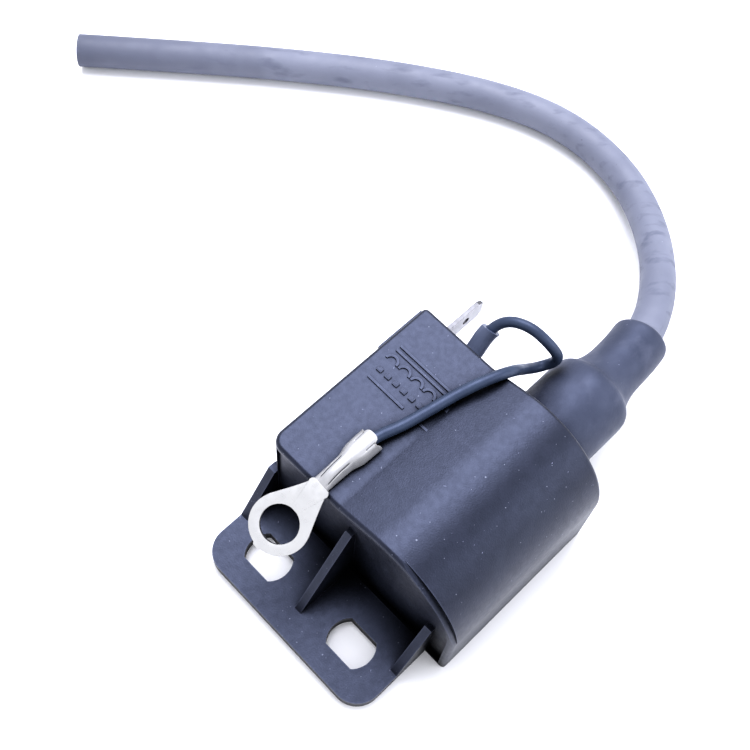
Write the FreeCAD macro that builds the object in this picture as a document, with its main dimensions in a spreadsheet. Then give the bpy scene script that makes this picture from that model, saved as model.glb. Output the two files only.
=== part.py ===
"""Ignition coil for a small engine, as a parametric FreeCAD document in millimetres.

A moulded housing holds a primary and a secondary winding on a laminated core, with the capacitor-discharge
electronics beside them, all potted from the open underside.  A flange with two double-D holes bolts it down.
A rubber boot seals the high-tension lead to a tower on the back wall, a spade terminal takes the trigger
wire, and a short ground lead ends in a ring terminal.

The origin is midway between the two flange holes, on the underside.  +X runs along the coil towards the boot,
+Y points to the flat block beside the coil, and +Z is up.
"""
import FreeCAD, Part
import math
import os
import Sketcher
from FreeCAD import Matrix, Placement, Rotation, Vector

DOCUMENT = FreeCAD.newDocument("ignition_coil")
X_AXIS, Y_AXIS, Z_AXIS = Vector(1, 0, 0), Vector(0, 1, 0), Vector(0, 0, 1)
PARTS_FOLDER = "parts"

SIZES = {
    # flange and its two double-D holes
    "flange_reach": 7.85,
    "flange_half_width": 20.2,
    "flange_thickness": 2.65,
    "flange_corner": 4.8,
    "slot_spacing": 21.4,
    "slot_flats": 6.35,
    "slot_length": 8.9,
    # outside of the housing
    "body_front": 9.0,
    "body_back": 45.9,
    "block_top": 28.0,
    "block_side": 19.2,
    "block_foot": 19.75,
    "block_step": 0.35,
    "block_step_start": 34.5,
    "valley_side": 3.0,
    "bulge_side": -9.2,
    "bulge_height": 15.3,
    "bulge_radius": 15.5,
    "bulge_foot": 24.6,
    "rim_width": 1.3,
    "rim_depth": 0.9,
    "groove_floor": 0.8,
    "ledge_depth": 1.0,
    "ledge_drop": 0.9,
    # gusset and ribs between the flange and the front wall
    "gusset_thickness": 1.5,
    "gusset_foot": -2.9,
    "gusset_top": 21.0,
    "rib_thickness": 1.6,
    "rib_foot": 1.7,
    "rib_top": 13.6,
    "rib_bury": 3.0,
    # inside of the housing
    "wall": 1.8,
    "potting_recess": 0.6,
    # tower, boot and high-tension lead, all on one line
    "tower_side": -9.8,
    "tower_height": 15.3,
    "tower_radius": 6.0,
    "tower_reach": 12.0,
    "lead_radius": 3.5,
    "lead_core": 1.05,
    "lead_core_gap": 0.05,
    "lead_seat": 51.0,
    "skirt_radius": 8.3,
    "skirt_end": 62.4,
    "shoulder_drop": 2.2,
    "waist_radius": 5.45,
    "waist_end": 66.0,
    "sleeve_radius": 5.5,
    "sleeve_reach": 11.4,
    # coil unit, on the line of the tower
    "coil_start": 14.2,
    "coil_end": 41.4,
    "core_side": 7.0,
    "core_overhang": 1.2,
    "lamination": 0.66,
    "lamination_pitch": 0.7,
    "core_hole": 7.3,
    "primary_tube": 5.9,
    "primary_wire": 7.5,
    "primary_flange": 8.1,
    "cheek": 0.9,
    "secondary_bore": 8.2,
    "secondary_tube": 9.1,
    "secondary_wire": 11.6,
    "secondary_flange": 12.2,
    "contact_radius": 1.1,
    "contact_disc": 3.2,
    "contact_disc_thickness": 0.8,
    # circuit board and what it carries
    "board_start": 13.0,
    "board_length": 29.0,
    "board_side": 4.4,
    "board_width": 12.6,
    "board_height": 12.6,
    "board_thickness": 1.6,
    "pin_radius": 0.35,
    "pin_stub": 1.0,
    # spade terminal
    "spade_side": 14.5,
    "spade_height": 22.2,
    "spade_width": 4.8,
    "spade_thickness": 0.8,
    "spade_tip": 56.0,
    "spade_point": 1.3,
    "spade_hole": 0.75,
    "spade_inside": 40.5,
    # ground lead, its sleeve and its ring terminal
    "ground_radius": 1.0,
    "strand_radius": 0.7,
    "outlet_side": 8.7,          # hole in the rear wall that the ground lead leaves by
    "outlet_height": 21.15,
    "outlet_radius": 1.3,
    "ground_sleeve": 1.75,
    "ground_sleeve_length": 6.4,
    "ring_bore": 3.35,
    "ring_outside": 5.2,
    "ring_sheet": 0.8,
}

# routes of the two leads: straight runs between these points, joined by arcs
LEAD_ROUTE = [
    (51.0, -9.8, 15.3),
    (64.5, -9.8, 15.3),
    (78.2, -9.0, 14.9),
    (90.4, -3.0, 12.2),
    (103.5, 8.3, 6.2),
    (111.2, 21.8, 3.55),
    (112.0, 37.8, 3.55),
    (106.3, 53.5, 3.55),
    (94.1, 72.1, 3.55),
    (78.4, 91.2, 3.55),
    (62.6, 108.5, 3.55),
    (46.9, 125.1, 3.55),
]
GROUND_ROUTE = [
    (41.7, 8.7, 20.55),
    (47.2, 8.75, 21.45),
    (51.6, 9.2, 25.2),
    (54.2, 7.6, 28.2),
    (55.8, 3.5, 29.2),
    (56.6, -1.1, 27.3),
    (58.0, -3.0, 22.9),
    (55.5, -0.7, 20.0),
    (51.1, 0.2, 23.8),
    (47.3, -0.1, 29.2),
    (42.4, 1.4, 30.5),
    (37.1, 3.3, 29.4),
    (31.5, 4.4, 29.35),
    (26.0, 5.6, 29.25),
    (20.9, 7.3, 29.65),
    (15.6, 7.3, 29.65),
]
ARC_SHARE = 0.45   # part of the shorter run that an arc between two runs may take up

SHEET = DOCUMENT.addObject("Spreadsheet::Sheet", "Sizes")
for row, (alias, value) in enumerate(SIZES.items(), start=1):
    SHEET.set(f"A{row}", alias)
    SHEET.set(f"B{row}", str(value))
    SHEET.setAlias(f"B{row}", alias)
DOCUMENT.recompute()


def size(alias):
    """The value that the spreadsheet holds for one driving size."""
    return float(getattr(SHEET, alias))


def bind(thing, **expressions):
    """Bind properties to expressions in which each driving size is written as S.alias."""
    for name, expression in expressions.items():
        path = name.replace("__", ".")
        thing.setExpression(path, expression.replace("S.", "Sizes."))


def evaluate(expression):
    """The present value of an expression written with S.alias."""
    return float(SHEET.evalExpression(expression.replace("S.", "Sizes.")))


def new_body(label):
    body = DOCUMENT.addObject("PartDesign::Body", label)
    body.Label = label
    return body


def origin_plane(body, role):
    return next(item for item in body.Origin.OriginFeatures if item.Role == role)


def new_sketch(body, name, role, offset=None):
    """A sketch on one of the body's origin planes, moved along its normal by an expression."""
    sketch = body.newObject("Sketcher::SketchObject", name)
    sketch.AttachmentSupport = [(origin_plane(body, role), "")]
    sketch.MapMode = "FlatFace"
    if offset is not None:
        bind(sketch, AttachmentOffset__Base__z=offset)
    return sketch


def pin_point(sketch, piece, end, across, along):
    """Fix one point of a sketch at a place given by two expressions."""
    for kind, expression in (("DistanceX", across), ("DistanceY", along)):
        index = sketch.addConstraint(Sketcher.Constraint(kind, -1, 1, piece, end, evaluate(expression)))
        sketch.setExpression(f"Constraints[{index}]", expression.replace("S.", "Sizes."))


def draw_polygon(sketch, corners):
    """A closed outline of straight lines whose corners are pairs of expressions."""
    places = [Vector(evaluate(across), evaluate(along), 0) for across, along in corners]
    first = sketch.GeometryCount
    count = len(places)
    for index, place in enumerate(places):
        sketch.addGeometry(Part.LineSegment(place, places[(index + 1) % count]), False)
    for index in range(count):
        following = first + (index + 1) % count
        sketch.addConstraint(Sketcher.Constraint("Coincident", first + index, 2, following, 1))
    for index, (across, along) in enumerate(corners):
        pin_point(sketch, first + index, 1, across, along)


def draw_circle(sketch, across, along, radius):
    centre = Vector(evaluate(across), evaluate(along), 0)
    index = sketch.addGeometry(Part.Circle(centre, Z_AXIS, evaluate(radius)), False)
    pin_point(sketch, index, 3, across, along)
    bound = sketch.addConstraint(Sketcher.Constraint("Radius", index, evaluate(radius)))
    sketch.setExpression(f"Constraints[{bound}]", radius.replace("S.", "Sizes."))


def pad(body, sketch, name, length, midplane=False, reverse=False):
    feature = body.newObject("PartDesign::Pad", name)
    feature.Profile = sketch
    bind(feature, Length=length)
    feature.Midplane = midplane
    feature.Reversed = reverse
    return feature


def pocket(body, sketch, name, length, reverse=False):
    feature = body.newObject("PartDesign::Pocket", name)
    feature.Profile = sketch
    bind(feature, Length=length)
    feature.Reversed = reverse
    return feature


def round_edges(body, name, radius, wanted):
    """Fillet every edge of the body's present solid for which wanted(edge) is true."""
    DOCUMENT.recompute()
    base = body.Tip
    edges = [f"Edge{i}" for i, edge in enumerate(base.Shape.Edges, start=1) if wanted(edge)]
    if not edges:
        raise RuntimeError(f"{name}: no edge was found to round")
    feature = body.newObject("PartDesign::Fillet", name)
    feature.Base = (base, edges)
    feature.Radius = radius
    DOCUMENT.recompute()
    return feature


def check_volume(what, before, after, grows):
    """A feature that points the wrong way changes nothing and reports no error."""
    if (after > before) != grows or abs(after - before) < 1e-3:
        raise RuntimeError(f"{what} changed the volume from {before:.2f} to {after:.2f}")


def runs_along(edge, axis):
    """Whether an edge is straight and parallel to an axis."""
    if edge.Degenerated or edge.Curve.TypeId != "Part::GeomLine":
        return False
    return abs(edge.tangentAt(edge.FirstParameter).dot(axis)) > 0.999


# ---------------------------------------------------------------- cords

def route_wire(points):
    """A wire of straight runs and tangent arcs along a route, with its length and its smallest radius."""
    places = [Vector(*point) for point in points]
    edges, radii = [], []
    start = places[0]
    for before, corner, after in zip(places, places[1:], places[2:]):
        inward = (corner - before).normalize()
        outward = (after - corner).normalize()
        turn = inward.getAngle(outward)
        shorter = min((corner - before).Length, (after - corner).Length)
        trim = ARC_SHARE * shorter
        radius = trim / math.tan(turn / 2)
        middle = corner + (outward - inward).normalize() * (radius / math.cos(turn / 2) - radius)
        first, last = corner - inward * trim, corner + outward * trim
        edges.append(Part.LineSegment(start, first).toShape())
        edges.append(Part.Arc(first, middle, last).toShape())
        radii.append(radius)
        start = last
    edges.append(Part.LineSegment(start, places[-1]).toShape())
    length = sum(edge.Length for edge in edges)
    return Part.Wire(edges), length, radii


def tube_shape(points, radius):
    """A plain round tube along a route, checked against its section times its length."""
    wire, length, radii = route_wire(points)
    heading = (Vector(*points[1]) - Vector(*points[0])).normalize()
    ring = Part.Wire([Part.makeCircle(radius, Vector(*points[0]), heading)])
    solid = wire.makePipeShell([ring], True, True)
    expected = math.pi * radius ** 2 * length
    if abs(solid.Volume - expected) > 0.01 * expected:
        raise RuntimeError(f"a cord's volume is {solid.Volume:.1f}, not {expected:.1f}")
    return solid, length, radii


def add_cord(label, points, radius):
    solid, length, radii = tube_shape(points, radius)
    piece = DOCUMENT.addObject("Part::Feature", label)
    piece.Label = label
    piece.Shape = solid
    print(f"{label}: length {length:.1f}, radii", " ".join(f"{value:.1f}" for value in radii))
    return piece


# ---------------------------------------------------------------- housing

def draw_shell_outline(sketch, inset, floor):
    """The housing's cross-section: upright block, sloping valley and round bulge, moved in by an inset."""
    inner = evaluate(inset)
    radius = size("bulge_radius") - inner
    centre = Vector(size("bulge_side"), size("bulge_height"), 0)
    top = size("block_top") - inner
    valley = Vector(size("valley_side"), top, 0)
    reach = valley - centre
    touch = math.atan2(reach.y, reach.x) + math.acos(radius / reach.Length)
    touch_point = centre + Vector(math.cos(touch), math.sin(touch), 0) * radius
    floor_level = evaluate(floor)
    foot = Vector(-(size("bulge_foot") - inner), floor_level, 0)
    flank = centre - X_AXIS * radius
    shoulder = Vector(size("block_side") - inner, top, 0)
    block_foot = Vector(size("block_foot") - inner, floor_level, 0)
    arc = Part.ArcOfCircle(Part.Circle(centre, Z_AXIS, radius), touch, math.pi)
    sketch.addGeometry(Part.LineSegment(foot, flank), False)
    sketch.addGeometry(arc, False)
    sketch.addGeometry(Part.LineSegment(touch_point, valley), False)
    sketch.addGeometry(Part.LineSegment(valley, shoulder), False)
    sketch.addGeometry(Part.LineSegment(shoulder, block_foot), False)
    sketch.addGeometry(Part.LineSegment(block_foot, foot), False)
    meeting_ends = [(0, 2, 1, 2), (2, 2, 3, 1), (3, 2, 4, 1), (4, 2, 5, 1), (5, 2, 0, 1)]
    for ends in meeting_ends:
        sketch.addConstraint(Sketcher.Constraint("Coincident", *ends))
    sketch.addConstraint(Sketcher.Constraint("Tangent", 1, 1, 2, 1))
    pin_point(sketch, 1, 3, "S.bulge_side", "S.bulge_height")
    bound = sketch.addConstraint(Sketcher.Constraint("Radius", 1, radius))
    sketch.setExpression(f"Constraints[{bound}]", f"Sizes.bulge_radius - {inset.replace('S.', 'Sizes.')}")
    level = sketch.addConstraint(Sketcher.Constraint("DistanceY", -1, 1, 1, 2, centre.y))
    sketch.setExpression(f"Constraints[{level}]", "Sizes.bulge_height")
    pin_point(sketch, 2, 2, "S.valley_side", f"S.block_top - {inset}")
    pin_point(sketch, 3, 2, f"S.block_side - {inset}", f"S.block_top - {inset}")
    pin_point(sketch, 4, 2, f"S.block_foot - {inset}", floor)
    pin_point(sketch, 0, 1, f"0 - S.bulge_foot + {inset}", floor)


def draw_slots(sketch):
    """Two round holes across the flange, each cut to two flats."""
    half_flat = size("slot_flats") / 2
    radius = size("slot_length") / 2
    half_angle = math.asin(half_flat / radius)
    for side in (-1, 1):
        centre = Vector(0, side * size("slot_spacing") / 2, 0)
        first = sketch.GeometryCount
        for middle in (math.pi / 2, -math.pi / 2):
            circle = Part.Circle(centre, Z_AXIS, radius)
            sketch.addGeometry(Part.ArcOfCircle(circle, middle - half_angle, middle + half_angle), False)
        corner = radius * math.cos(half_angle)
        left_top = centre + Vector(-half_flat, corner, 0)
        left_bottom = centre + Vector(-half_flat, -corner, 0)
        right_top = centre + Vector(half_flat, corner, 0)
        right_bottom = centre + Vector(half_flat, -corner, 0)
        sketch.addGeometry(Part.LineSegment(left_top, left_bottom), False)
        sketch.addGeometry(Part.LineSegment(right_bottom, right_top), False)
        upper, lower, left, right = range(first, first + 4)
        for ends in ((upper, 2, left, 1), (left, 2, lower, 1), (lower, 2, right, 1), (right, 2, upper, 1)):
            sketch.addConstraint(Sketcher.Constraint("Coincident", *ends))
        for arc in (upper, lower):
            place = "S.slot_spacing / 2" if side > 0 else "0 - S.slot_spacing / 2"
            index = sketch.addConstraint(Sketcher.Constraint("DistanceY", -1, 1, arc, 3, centre.y))
            sketch.setExpression(f"Constraints[{index}]", place.replace("S.", "Sizes."))
            sketch.addConstraint(Sketcher.Constraint("PointOnObject", arc, 3, -2))
        index = sketch.addConstraint(Sketcher.Constraint("Radius", upper, radius))
        sketch.setExpression(f"Constraints[{index}]", "Sizes.slot_length / 2")
        sketch.addConstraint(Sketcher.Constraint("Equal", upper, lower))
        for line, sign in ((left, "0 - "), (right, "")):
            place = -half_flat if sign else half_flat
            sketch.addConstraint(Sketcher.Constraint("Vertical", line))
            index = sketch.addConstraint(Sketcher.Constraint("DistanceX", -1, 1, line, 1, place))
            sketch.setExpression(f"Constraints[{index}]", f"{sign}Sizes.slot_flats / 2")


def draw_mark(sketch):
    """The generic mark on the flat top: the drawing symbol of an iron-cored winding, dashes and bars."""
    humps, hump_radius, stroke, spacing = 5, 1.4, 0.45, 2.95
    symbol_level, dash_level, bar_level = 33.7, 31.3, 29.0
    first_hump = 15.6
    for index in range(humps):
        middle = Vector(symbol_level, first_hump - index * spacing, 0)
        outer = sketch.GeometryCount
        for radius in (hump_radius, hump_radius - stroke):
            circle = Part.Circle(middle, Z_AXIS, radius)
            sketch.addGeometry(Part.ArcOfCircle(circle, -math.pi / 2, math.pi / 2), False)
        for sign in (-1, 1):
            near = middle + Vector(0, sign * (hump_radius - stroke), 0)
            far = middle + Vector(0, sign * hump_radius, 0)
            sketch.addGeometry(Part.LineSegment(near, far), False)
        inner, low, high = outer + 1, outer + 2, outer + 3
        for ends in ((low, 1, inner, 1), (low, 2, outer, 1), (high, 1, inner, 2), (high, 2, outer, 2)):
            sketch.addConstraint(Sketcher.Constraint("Coincident", *ends))
        sketch.addConstraint(Sketcher.Constraint("Coincident", outer, 3, inner, 3))
    core_lines = [(level, 16.6, 14.0, 0.42) for level in (36.0, 37.0)]
    dashes = [(dash_level, 16.4 - 1.9 * index, 1.1, 0.9) for index in range(7)]
    bars = [(bar_level, 16.4, 8.4, 0.45), (bar_level, 5.2, 2.9, 0.45)]
    for level, start, length, width in core_lines + dashes + bars:
        corners = [
            (level - width / 2, start),
            (level + width / 2, start),
            (level + width / 2, start - length),
            (level - width / 2, start - length),
        ]
        draw_polygon(sketch, [(f"{across:.3f}", f"{along:.3f}") for across, along in corners])


def build_housing():
    body = new_body("housing")
    outline = new_sketch(body, "housing_outline", "YZ_Plane", "S.body_front")
    draw_shell_outline(outline, "0.0", "0.0")
    pad(body, outline, "housing_block", "S.body_back - S.body_front")

    front, back = size("body_front"), size("body_back")

    def block_edge(end, side):
        """The upright edge of the flat block at one end, or of the bulge's foot."""
        def wanted(edge):
            middle = edge.CenterOfMass
            at_end = abs(middle.x - end) < 0.01
            upright = abs(edge.tangentAt(edge.FirstParameter).z) > 0.9
            return at_end and upright and middle.y * side > 15
        return wanted

    round_edges(body, "front_block_corner", 2.6, block_edge(front, 1))
    round_edges(body, "rear_block_corner", 0.9, block_edge(back, 1))

    def top_rim(edge):
        """The front and rear edges of the top, and the long edge along the flat block."""
        middle = edge.CenterOfMass
        along_block = runs_along(edge, X_AXIS) and middle.z > size("block_top") - 0.1 and middle.y > 10
        at_end = abs(middle.x - front) < 0.01 or abs(middle.x - back) < 0.01
        corner = middle.z > size("block_top") - 0.1 and middle.y > 10
        return along_block or (at_end and middle.z > 6.0) or corner

    round_edges(body, "top_edges", 0.8, top_rim)

    def valley(edge):
        middle = edge.CenterOfMass
        on_line = abs(middle.y - size("valley_side")) < 0.3 and middle.z > 20
        return on_line and runs_along(edge, X_AXIS)

    round_edges(body, "valley_blend", 5.0, valley)

    step = new_sketch(body, "step_outline", "YZ_Plane", "S.block_step_start")
    draw_polygon(step, [
        ("S.block_side - 1.0", "S.block_top - 0.9"),
        ("S.block_side + S.block_step", "S.block_top - 0.9"),
        ("S.block_foot + S.block_step", "0.0"),
        ("S.block_foot - 1.0", "0.0"),
    ])
    pad(body, step, "side_step", "S.body_back - S.block_step_start - 0.9")

    # crescent ledge on the bulge's front shoulder
    ledge = new_sketch(body, "ledge_outline", "YZ_Plane", "S.body_front")
    centre = Vector(size("bulge_side"), size("bulge_height"), 0)
    radius = size("bulge_radius")

    def on_circle(degrees, drop):
        angle = math.radians(degrees)
        return centre + Vector(math.cos(angle), math.sin(angle), 0) * (radius - drop)

    high, middle, low = on_circle(97, -0.02), on_circle(138, size("ledge_drop")), on_circle(178, -0.02)
    arc = Part.Arc(high, middle, low)
    outer_low = Vector(low.x - 4, low.y, 0)
    outer_high = Vector(high.x, high.y + 4, 0)
    outer_corner = Vector(outer_low.x, outer_high.y, 0)
    ledge.addGeometry(arc, False)
    turns = [high, outer_high, outer_corner, outer_low, low]
    for start, end in zip(turns, turns[1:]):
        ledge.addGeometry(Part.LineSegment(start, end), False)
    pocket(body, ledge, "ledge", "S.ledge_depth", reverse=True)

    recess = new_sketch(body, "recess_outline", "YZ_Plane", "S.body_front")
    draw_shell_outline(recess, "S.rim_width", "S.groove_floor")
    pocket(body, recess, "front_recess", "S.rim_depth", reverse=True)

    flange = new_sketch(body, "flange_outline", "XY_Plane")
    draw_polygon(flange, [
        ("0 - S.flange_reach", "0 - S.flange_half_width"),
        ("S.body_front", "0 - S.flange_half_width"),
        ("S.body_front", "S.flange_half_width"),
        ("0 - S.flange_reach", "S.flange_half_width"),
    ])
    draw_slots(flange)
    pad(body, flange, "flange", "S.flange_thickness")
    round_edges(body, "flange_corners", size("flange_corner"), lambda edge: (
        runs_along(edge, Z_AXIS)
        and abs(edge.CenterOfMass.x + size("flange_reach")) < 0.01
        and abs(abs(edge.CenterOfMass.y) - size("flange_half_width")) < 0.01
    ))

    gusset = new_sketch(body, "gusset_outline", "XZ_Plane")
    draw_polygon(gusset, [
        ("S.gusset_foot", "S.flange_thickness"),
        ("S.gusset_foot", "S.flange_thickness - 0.5"),
        ("S.body_front + 1.2", "S.flange_thickness - 0.5"),
        ("S.body_front + 1.2", "S.gusset_top + 0.2"),
        ("S.body_front", "S.gusset_top"),
    ])
    pad(body, gusset, "gusset", "S.gusset_thickness", midplane=True)
    for label, sign in (("block_rib", ""), ("bulge_rib", "0 - ")):
        offset = "0 - S.flange_half_width + S.rib_thickness / 2" if not sign else \
            "S.flange_half_width - S.rib_thickness / 2"
        rib = new_sketch(body, f"{label}_outline", "XZ_Plane", offset)
        draw_polygon(rib, [
            ("S.rib_foot", "S.flange_thickness"),
            ("S.rib_foot", "S.flange_thickness - 0.5"),
            ("S.body_front - 0.1", "0.0"),
            ("S.body_front + S.rib_bury", "0.0"),
            ("S.body_front + S.rib_bury", "S.rib_top - 1.0"),
            ("S.body_front + 1.2", "S.rib_top"),
            ("S.body_front", "S.rib_top"),
        ])
        pad(body, rib, label, "S.rib_thickness", midplane=True)

    tower = new_sketch(body, "tower_outline", "YZ_Plane", "S.body_back - S.wall")
    draw_circle(tower, "S.tower_side", "S.tower_height", "S.tower_radius")
    pad(body, tower, "tower", "S.tower_reach + S.wall")

    DOCUMENT.recompute()
    before = body.Shape.Volume
    cavity = new_sketch(body, "cavity_outline", "YZ_Plane", "S.body_back - S.wall")
    draw_shell_outline(cavity, "S.wall", "-1.0")
    pocket(body, cavity, "cavity", "S.body_back - S.body_front - S.rim_depth - S.wall - S.wall")
    DOCUMENT.recompute()
    check_volume("cavity", before, body.Shape.Volume, False)

    before = body.Shape.Volume
    bore = new_sketch(body, "lead_bore", "YZ_Plane", "S.body_back + S.tower_reach")
    draw_circle(bore, "S.tower_side", "S.tower_height", "S.lead_radius")
    pocket(body, bore, "lead_seat", "S.body_back + S.tower_reach - S.lead_seat")
    contact = new_sketch(body, "contact_bore", "YZ_Plane", "S.lead_seat + 0.1")
    draw_circle(contact, "S.tower_side", "S.tower_height", "S.contact_radius")
    pocket(body, contact, "contact_passage", "S.lead_seat - S.body_back + S.wall + 0.3")
    outlet = new_sketch(body, "outlet_bore", "YZ_Plane", "S.body_back + 0.1")
    draw_circle(outlet, "S.outlet_side", "S.outlet_height", "S.outlet_radius")
    pocket(body, outlet, "ground_outlet", "S.wall + 0.3")
    slit = new_sketch(body, "spade_slit", "YZ_Plane", "S.body_back + 0.1")
    draw_polygon(slit, [
        ("S.spade_side - S.spade_thickness / 2", "S.spade_height - S.spade_width / 2"),
        ("S.spade_side + S.spade_thickness / 2", "S.spade_height - S.spade_width / 2"),
        ("S.spade_side + S.spade_thickness / 2", "S.spade_height + S.spade_width / 2"),
        ("S.spade_side - S.spade_thickness / 2", "S.spade_height + S.spade_width / 2"),
    ])
    pocket(body, slit, "spade_passage", "S.wall + 0.3")
    DOCUMENT.recompute()
    check_volume("rear openings", before, body.Shape.Volume, False)

    mark = new_sketch(body, "mark_outline", "XY_Plane", "S.block_top - 0.05")
    draw_mark(mark)
    pad(body, mark, "raised_mark", "0.3")
    return body


# ---------------------------------------------------------------- plain solids

def lay_box(name, start, side, height, length, width, rise):
    """A box from its lowest corner: X start, Y side and Z height, then its size along X, Y and Z."""
    box = DOCUMENT.addObject("Part::Box", name)
    bind(box, Placement__Base__x=start, Placement__Base__y=side, Placement__Base__z=height)
    bind(box, Length=length, Width=width, Height=rise)
    return box


def lay_cylinder(name, radius, length, start, side, height, axis=X_AXIS):
    """A round bar that begins at a point and runs along an axis."""
    bar = DOCUMENT.addObject("Part::Cylinder", name)
    bar.Placement = Placement(Vector(), Rotation(Z_AXIS, axis))
    bind(bar, Radius=radius, Height=length)
    bind(bar, Placement__Base__x=start, Placement__Base__y=side, Placement__Base__z=height)
    return bar


def coil_bar(name, radius, start, length):
    """A round bar on the coil's own line."""
    return lay_cylinder(name, radius, length, start, "S.tower_side", "S.tower_height")


def join(label, items):
    joined = DOCUMENT.addObject("Part::MultiFuse", label)
    joined.Shapes = items
    joined.Label = label
    return joined


def cut(label, base, tool):
    trimmed = DOCUMENT.addObject("Part::Cut", label)
    trimmed.Base, trimmed.Tool = base, tool
    trimmed.Label = label
    return trimmed


def group(label, items):
    """Identical or paired solids that share one node and stay separate."""
    together = DOCUMENT.addObject("Part::Compound", label)
    together.Links = items
    together.Label = label
    return together


# ---------------------------------------------------------------- coil unit

def build_core():
    sheets = []
    count = 10
    for index in range(count):
        level = f"S.tower_height + {index - count / 2} * S.lamination_pitch"
        sheets.append(lay_box(
            f"lamination_{index + 1}", "S.coil_start - S.core_overhang", "S.tower_side - S.core_side / 2", level,
            "S.coil_end - S.coil_start + 2 * S.core_overhang", "S.core_side", "S.lamination"))
    return group("core_laminations", sheets)


def build_primary():
    coil_length = "S.coil_end - S.coil_start"
    tube = coil_bar("primary_tube_bar", "S.primary_tube", "S.coil_start", coil_length)
    front = coil_bar("primary_front_cheek", "S.primary_flange", "S.coil_start", "S.cheek")
    rear = coil_bar("primary_rear_cheek", "S.primary_flange", "S.coil_end - S.cheek", "S.cheek")
    hole = lay_box(
        "core_passage", "S.coil_start - 1", "S.tower_side - S.core_hole / 2", "S.tower_height - S.core_hole / 2",
        coil_length + " + 2", "S.core_hole", "S.core_hole")
    bobbin = cut("primary_bobbin", join("primary_spool", [tube, front, rear]), hole)
    room = f"{coil_length} - 2 * S.cheek"
    copper = coil_bar("primary_copper", "S.primary_wire", "S.coil_start + S.cheek", room)
    inside = coil_bar("primary_inside", "S.primary_tube", "S.coil_start + S.cheek", room)
    winding = cut("primary_winding", copper, inside)
    wrap = coil_bar("wrap_outside", "S.primary_wire + 0.5", "S.coil_start + S.cheek", room)
    under = coil_bar("wrap_inside", "S.primary_wire", "S.coil_start + S.cheek", room)
    return [bobbin, winding, cut("interlayer_insulation", wrap, under)]


def build_secondary():
    """A spool of six chambers, which keeps the high voltage between neighbouring turns small."""
    chambers = 6
    pitch = f"(S.coil_end - S.coil_start - 0.7) / {chambers}"
    run = "S.coil_end - S.coil_start"
    walls = [coil_bar("secondary_tube_bar", "S.secondary_tube", "S.coil_start", run)]
    for index in range(chambers + 1):
        start = f"S.coil_start + {index} * {pitch}"
        walls.append(coil_bar(f"chamber_wall_{index + 1}", "S.secondary_flange", start, "0.7"))
    bore = coil_bar("secondary_bore_bar", "S.secondary_bore", "S.coil_start - 1", run + " + 2")
    bobbin = cut("secondary_bobbin", join("secondary_spool", walls), bore)
    rings = []
    for index in range(chambers):
        start = f"S.coil_start + 0.7 + {index} * {pitch}"
        outside = coil_bar(f"secondary_copper_{index + 1}", "S.secondary_wire", start, f"{pitch} - 0.7")
        inside = coil_bar(f"secondary_inside_{index + 1}", "S.secondary_tube", start, f"{pitch} - 0.7")
        rings.append(cut(f"secondary_section_{index + 1}", outside, inside))
    return [bobbin, group("secondary_winding", rings)]


def build_contact():
    """The brass pin that takes the high tension from the coil through the tower to the lead."""
    disc = coil_bar("contact_head", "S.contact_disc", "S.coil_end + S.core_overhang + 0.3",
                    "S.contact_disc_thickness")
    pin = coil_bar("contact_pin", "S.contact_radius", "S.coil_end + S.core_overhang + 0.3",
                   "S.lead_seat - S.coil_end - S.core_overhang - 0.3")
    return join("high_tension_contact", [disc, pin])


# ---------------------------------------------------------------- electronics

BOARD_TOP = "S.board_height + S.board_thickness"


def board_pin(name, along, across, top):
    """A wire that goes down from a part, through the board, to a stub below it."""
    return lay_cylinder(
        name, "S.pin_radius", f"{top} - S.board_height + S.pin_stub", str(along), str(across),
        "S.board_height - S.pin_stub", Z_AXIS)


def axial_part(name, radius, length, centre, direction, level):
    """A round bodied part with a bent lead at each end, lying just above the board."""
    along, across = centre
    reach = length / 2 + 1.1
    step = Vector(1, 0, 0) if direction == "x" else Vector(0, 1, 0)
    start = Vector(along, across, 0) - step * (length / 2)
    lead_start = Vector(along, across, 0) - step * reach
    height = f"{BOARD_TOP} + {level}"
    barrel = lay_cylinder(f"{name}_body", str(radius), str(length), f"{start.x:.3f}", f"{start.y:.3f}", height, step)
    lead = lay_cylinder(
        f"{name}_lead", "S.pin_radius", f"{2 * reach:.3f}", f"{lead_start.x:.3f}", f"{lead_start.y:.3f}", height, step)
    pieces = [barrel, lead]
    for sign in (-1, 1):
        foot = Vector(along, across, 0) + step * (sign * reach)
        pieces.append(board_pin(f"{name}_pin_{sign + 2}", f"{foot.x:.3f}", f"{foot.y:.3f}", height))
    return join(name, pieces)


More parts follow.
